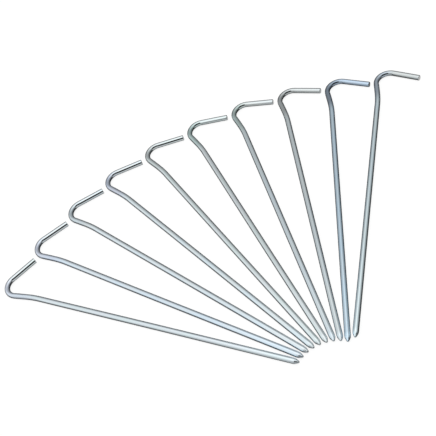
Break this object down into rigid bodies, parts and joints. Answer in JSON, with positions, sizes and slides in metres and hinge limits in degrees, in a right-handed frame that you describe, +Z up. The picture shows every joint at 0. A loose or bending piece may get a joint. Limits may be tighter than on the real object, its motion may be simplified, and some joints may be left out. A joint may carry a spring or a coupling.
{
  "type": "tent stake",
  "caption": "Bent-wire tent stakes laid flat in a fan, each one round wire with a blunt point, a long straight shank, a slight kink and an open hook for a guy line.",
  "frame": {"origin": "on the ground, below the middle of the fan's outline", "axes": "+Z up off the ground the stakes lie on; +Y along the fan's centre line, from the points to the hooks; +X to the right, the side that every hook opens to"},
  "size_m": [0.3402, 0.2418, 0.004],
  "materials": {
    "zinc_clear": "bright zinc plating on steel wire, clear passivate, smooth drawn surface",
    "zinc_blue": "bright zinc plating on steel wire, blue passivate, smooth drawn surface",
    "zinc_green": "bright zinc plating on steel wire, green passivate, smooth drawn surface"
  },
  "bodies": {
    "stake_01": {"stake_01": "zinc_green"},
    "stake_02": {"stake_02": "zinc_blue"},
    "stake_03": {"stake_03": "zinc_blue"},
    "stake_04": {"stake_04": "zinc_blue"},
    "stake_05": {"stake_05": "zinc_green"},
    "stake_06": {"stake_06": "zinc_green"},
    "stake_07": {"stake_07": "zinc_clear"},
    "stake_08": {"stake_08": "zinc_clear"},
    "stake_09": {"stake_09": "zinc_blue"},
    "stake_10": {"stake_10": "zinc_clear"}
  },
  "joints": [
    {"name": "stake_01_lift", "type": "slide", "parent": "stake_05", "child": "stake_01", "axis": [0, 0, 1], "range_m": [0, 0.06]},
    {"name": "stake_02_lift", "type": "slide", "parent": "stake_05", "child": "stake_02", "axis": [0, 0, 1], "range_m": [0, 0.06]},
    {"name": "stake_03_lift", "type": "slide", "parent": "stake_05", "child": "stake_03", "axis": [0, 0, 1], "range_m": [0, 0.06]},
    {"name": "stake_04_lift", "type": "slide", "parent": "stake_05", "child": "stake_04", "axis": [0, 0, 1], "range_m": [0, 0.06]},
    {"name": "stake_06_lift", "type": "slide", "parent": "stake_05", "child": "stake_06", "axis": [0, 0, 1], "range_m": [0, 0.06]},
    {"name": "stake_07_lift", "type": "slide", "parent": "stake_05", "child": "stake_07", "axis": [0, 0, 1], "range_m": [0, 0.06]},
    {"name": "stake_08_lift", "type": "slide", "parent": "stake_05", "child": "stake_08", "axis": [0, 0, 1], "range_m": [0, 0.06]},
    {"name": "stake_09_lift", "type": "slide", "parent": "stake_05", "child": "stake_09", "axis": [0, 0, 1], "range_m": [0, 0.06]},
    {"name": "stake_10_lift", "type": "slide", "parent": "stake_05", "child": "stake_10", "axis": [0, 0, 1], "range_m": [0, 0.06]}
  ]
}
